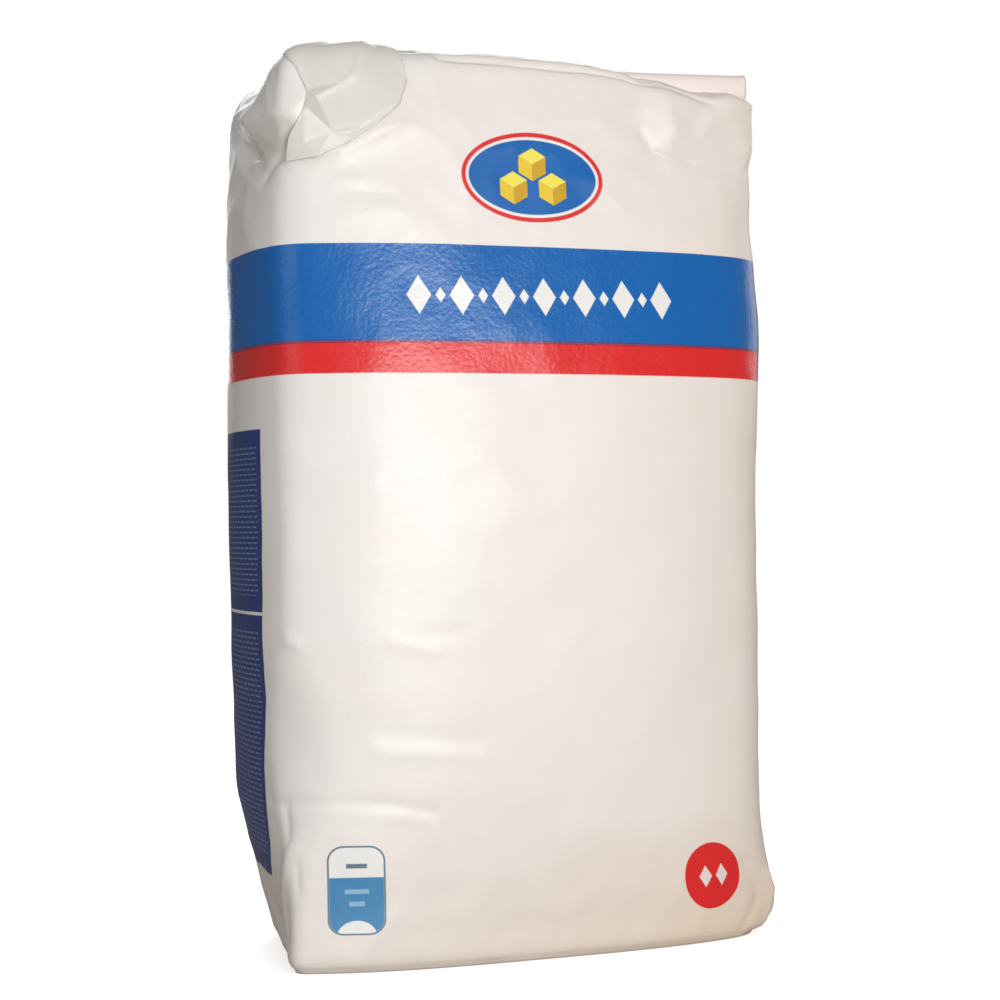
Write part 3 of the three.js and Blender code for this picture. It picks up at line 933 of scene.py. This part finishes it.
def fine_print(u, v):
    """Rows of short bars of the size of small type."""
    row = v / FINE_PRINT_PITCH
    share = row.math("FRACT")
    line = over(share, 0.35, 0.1) * under(share, 0.68, 0.1)
    word = (u / FINE_PRINT_WORD + row.math("FLOOR") * 0.37).math("FRACT")
    blocks = union([between(v, low, high) for low, high in FINE_PRINT_BLOCKS])
    return line * under(word, 0.76, 0.05) * blocks


def panel_layers(u, v, middle, drift):
    """A dark panel on a side of the bag, and the pale line across it."""
    across = (u - middle - drift).size()
    panel = under(across, PANEL_HALF_WIDTH) * between(v, PANEL_LOW, PANEL_HIGH)
    return [
        (panel, PANEL_BLUE),
        (under(across, PANEL_HALF_WIDTH - FINE_PRINT_MARGIN) * fine_print(u, v), PANEL_PALE),
        (panel * between(v, PANEL_LINE_LOW, PANEL_LINE_HIGH), PRINT_WHITE),
    ]


def pushed_below(v, level, reach, shift):
    return under(v, level, reach) * shift


def print_layers(u, v):
    """The bag's printed colours over white paper, as (mask, colour) from the lowest layer up."""
    layers = band_layers(u, v) + emblem_layers(u, v) + badge_layers(u, v) + disc_layers(u, v)
    layers += panel_layers(u, v, RIGHT_START + HALF_DEPTH, 0.0)
    drift = pushed_below(v, *PANEL_PUSH) - pushed_below(v, *LOW_PANEL_PUSH) + PANEL_DRIFT
    layers += panel_layers(u, v, LEFT_START + HALF_DEPTH, drift)
    return layers


TONE_SCALE, GRAIN_SCALE, SUGAR_SCALE = 45.0, 1400.0, 1150.0   # of noise, for each metre
LOW_SHADE_BELOW, LOW_SHADE_REACH = 0.012, 0.032   # in metres: the height and softness of the painted warm shade along the base
WARMING, FLAP_WARMING = 0.12, 0.07   # in metres, over which painted warm light makes the paper warmer towards the right
ROUGHNESS, BAND_GLOSS = 0.28, 0.12
SUGAR_BUMP, PLAIN_BUMP, FIBRE_BUMP = 0.00006, 0.000024, 0.00001   # in metres


def split_vector(tree, vector):
    """The three parts of a vector, each as a field."""
    split = tree.nodes.new("ShaderNodeSeparateXYZ")
    tree.links.new(vector, split.inputs[0])
    return [Field(tree, output) for output in split.outputs]


def paper_material(name, printed):
    """White paper, with painted warm light that tints it towards the right and painted warm shade low
    down.
    """
    material, tree, shader = new_material(name)
    place = tree.nodes.new("ShaderNodeTexCoord").outputs["Object"]
    rightward, _, upward = split_vector(tree, place)
    tone = noise_node(tree, place, TONE_SCALE, 3.0)
    grain = noise_node(tree, place, GRAIN_SCALE, 2.0)
    sugar = noise_node(tree, place, SUGAR_SCALE, 1.0)
    patches = over(tone, 0.5, 0.5)
    # Painted shade low down, patchy with the tone noise.
    painted_low_shade = under(upward, LOW_SHADE_BELOW, LOW_SHADE_REACH) * (tone * 0.6 + 0.5)
    # Painted warm light, growing towards the right.
    to_the_right = over(rightward, 0.0, WARMING)
    if printed:
        colour = mixed(tree, to_the_right * 0.7 + patches * 0.3, PAPER_WHITE, PAPER_WARM_LIGHT_AND_TONE)
    else:
        colour = mixed(tree, patches, PAPER_LOOSE, PAPER_SHADED)
        # Painted warm light on the unprinted paper towards the right.
        colour = mixed(tree, over(rightward, 0.0, FLAP_WARMING), colour, PLAIN_PAPER_WARM_LIGHT)
    # Paints the warm shade along the base, stronger towards the right.
    colour = mixed(tree, painted_low_shade * (to_the_right * 0.75 + 0.25), colour, PAPER_PAINTED_LOW_SHADE)
    rough = sugar * 0.14 + tone * 0.08 + ROUGHNESS
    if printed:
        uv = tree.nodes.new("ShaderNodeUVMap")
        uv.uv_map = "paper"
        u, v, _ = split_vector(tree, uv.outputs[0])
        for mask, ink in print_layers(u, v):
            colour = mixed(tree, mask, colour, ink)
        inked = between(v, RED_LOW, BLUE_TOP)
        rough = rough - inked * BAND_GLOSS
        pressed = bump(tree, sugar * (inked * 0.6 + 0.4), SUGAR_BUMP)
    else:
        pressed = bump(tree, sugar, PLAIN_BUMP)
    tree.links.new(colour, shader.inputs["Base Color"])
    tree.links.new(rough.socket, shader.inputs["Roughness"])
    tree.links.new(bump(tree, grain, FIBRE_BUMP, pressed), shader.inputs["Normal"])
    return material


# ---------------------------------------------------------------------------------------------
# The stage

CAMERA_POSITION = (-155.5, -418.8, 87.6)
CAMERA_AZIMUTH = 20.51
CAMERA_TILT = 0.53
CAMERA_ROLL = 0.69
FOCAL_PIXELS = 2100.0
IMAGE_PIXELS = 1000.0
SENSOR = 36.0


def make_camera(shift):
    data = bpy.data.cameras.new("camera")
    data.sensor_width = SENSOR
    data.lens = FOCAL_PIXELS / IMAGE_PIXELS * SENSOR
    data.clip_start = 0.01
    camera = bpy.data.objects.new("camera", data)
    bpy.context.scene.collection.objects.link(camera)
    turn = Euler((math.radians(90 + CAMERA_TILT), 0, -math.radians(CAMERA_AZIMUTH))).to_matrix()
    roll = Matrix.Rotation(math.radians(-CAMERA_ROLL), 3, "Z")
    place = Matrix.Translation((Vector(CAMERA_POSITION) + Vector(shift)) * MM)
    camera.matrix_world = place @ (turn @ roll).to_4x4()
    bpy.context.scene.camera = camera


# Soft lights round the bag: name, azimuth and elevation in degrees, distance, width and height in
# metres, and power in watts. Azimuth 0 is in front of the bag and 90 to its right.
LIGHTS = [
    ("window", 0, 6, 0.5, 0.27, 0.15, 1.12),
    ("key", -12, -4, 0.6, 0.1, 0.1, 0.56),
    ("fill", -75, 20, 1.2, 0.7, 0.7, 1.35),
    ("back", 165, 22, 1.2, 0.8, 0.8, 7.5),
    ("right", 115, 20, 1.2, 0.7, 0.7, 1.6),
]


def make_light(name, azimuth, elevation, distance, width, height, power):
    """An area light that points at the middle of the bag."""
    data = bpy.data.lights.new(name, "AREA")
    data.shape = "RECTANGLE"
    data.size = width
    data.size_y = height
    data.energy = power
    light = bpy.data.objects.new(name, data)
    bpy.context.scene.collection.objects.link(light)
    light.visible_camera = False
    a, e = math.radians(azimuth), math.radians(elevation)
    back = Vector((math.sin(a) * math.cos(e), -math.cos(a) * math.cos(e), math.sin(e)))
    light.location = Vector((0, 0, WALL / 2 * MM)) + back * distance
    light.rotation_mode = "QUATERNION"
    light.rotation_quaternion = (-back).to_track_quat("-Z", "Y")


FLOOR_SIZE, FLOOR_GLOW = 6, 0.55
FLOOR_FADE_FROM, FLOOR_FADE_TO = 0.25, 0.75
FLOOR_PALE, FLOOR_GREY = linear(246, 246, 245), linear(240, 240, 240)
WHITE = (1, 1, 1, 1)
WORLD_STRENGTH = 0.42
WORLD_ABOVE, WORLD_BELOW = (0.90, 0.90, 0.90), (0.56, 0.48, 0.41)
WORLD_RIGHT, WORLD_BACK = (0.74, 0.56, 0.40), (0.12, 0.12, 0.12)


def fade_floor(tree, shader):
    """Lets the floor fade into the white backdrop with the distance from the bag."""
    place = tree.nodes.new("ShaderNodeTexCoord").outputs["Object"]
    length = tree.nodes.new("ShaderNodeVectorMath")
    length.operation = "LENGTH"
    tree.links.new(place, length.inputs[0])
    span = tree.nodes.new("ShaderNodeMapRange")
    span.interpolation_type = "SMOOTHSTEP"
    span.inputs["From Min"].default_value = FLOOR_FADE_FROM
    span.inputs["From Max"].default_value = FLOOR_FADE_TO
    tree.links.new(length.outputs["Value"], span.inputs["Value"])
    glow = tree.nodes.new("ShaderNodeEmission")
    blend = tree.nodes.new("ShaderNodeMixShader")
    tree.links.new(span.outputs[0], blend.inputs[0])
    tree.links.new(shader.outputs[0], blend.inputs[1])
    tree.links.new(glow.outputs[0], blend.inputs[2])
    tree.links.new(blend.outputs[0], tree.nodes["Material Output"].inputs["Surface"])


def make_floor():
    bpy.ops.mesh.primitive_plane_add(size=FLOOR_SIZE)
    floor = bpy.context.object
    floor.name = "floor"
    material, tree, shader = new_material("floor")
    place = tree.nodes.new("ShaderNodeTexCoord").outputs["Object"]
    colour = mixed(tree, noise_node(tree, place, 3.0), FLOOR_PALE, FLOOR_GREY)
    tree.links.new(colour, shader.inputs["Base Color"])
    shader.inputs["Roughness"].default_value = 0.8
    shader.inputs["Emission Color"].default_value = WHITE
    shader.inputs["Emission Strength"].default_value = FLOOR_GLOW
    floor.data.materials.append(material)
    fade_floor(tree, shader)
    floor.visible_diffuse = False
    floor.visible_glossy = False


def surrounding_light(tree):
    """The light's colour from each direction: pale, warmer below and on the right, dark behind."""
    direction = tree.nodes.new("ShaderNodeTexCoord").outputs["Generated"]
    rightward, backward, upward = split_vector(tree, direction)
    sky = mixed(tree, rightward.clamped(), WORLD_ABOVE, WORLD_RIGHT)
    sky = mixed(tree, backward.clamped(), sky, WORLD_BACK)
    return mixed(tree, (upward * 1.4 + 0.6).clamped(), WORLD_BELOW, sky)


def make_world():
    """Soft light from all round, with a plain white backdrop for the camera."""
    world = bpy.data.worlds.new("world")
    world.use_nodes = True
    bpy.context.scene.world = world
    tree = world.node_tree
    tree.nodes.clear()
    seen = tree.nodes.new("ShaderNodeBackground")
    seen.inputs["Color"].default_value = WHITE
    around = tree.nodes.new("ShaderNodeBackground")
    around.inputs["Strength"].default_value = WORLD_STRENGTH
    tree.links.new(surrounding_light(tree), around.inputs["Color"])
    path = tree.nodes.new("ShaderNodeLightPath")
    blend = tree.nodes.new("ShaderNodeMixShader")
    output = tree.nodes.new("ShaderNodeOutputWorld")
    tree.links.new(path.outputs["Is Camera Ray"], blend.inputs[0])
    tree.links.new(around.outputs[0], blend.inputs[1])
    tree.links.new(seen.outputs[0], blend.inputs[2])
    tree.links.new(blend.outputs[0], output.inputs[0])


def make_stage():
    make_floor()
    make_world()
    for light in LIGHTS:
        make_light(*light)
    bpy.context.scene.view_settings.view_transform = "Standard"


def add_piece(name, shape, shift, material, thickness=None):
    points, faces, uvs = shape
    piece = mesh_object(name, points + shift, faces, uvs)
    piece.data.materials.append(material)
    if thickness:
        add_thickness(piece, thickness)
    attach(piece, "root")
    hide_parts(BAG)


*body_shape, smooth_body = make_body()
SHIFT = place_in_frame(smooth_body)
printed_paper = paper_material("printed_paper", True)
plain_paper = paper_material("plain_paper", False)
add_piece("bag_paper", body_shape, SHIFT, printed_paper)
bag_surface = BVHTree.FromPolygons(body_shape[0].tolist(), body_shape[1])
front_left, front_right, back_right, back_left = crease_points(np.array(0.0))
loose_sheets = {
    "loose_ear": make_ear(),
    "closure_outer": make_closure(0, bag_surface),
    "closure_inner": make_closure(1, bag_surface),
    "base_flap_front": make_base_flap(front_left, front_right, -1, FRONT_FLAP_HEIGHT),
    "base_flap_back": make_base_flap(back_left, back_right, 1, BACK_FLAP_HEIGHT),
}
for name, sheet in loose_sheets.items():
    add_piece(name, sheet, SHIFT, plain_paper, PAPER_THICKNESS)

make_camera(SHIFT)
make_stage()
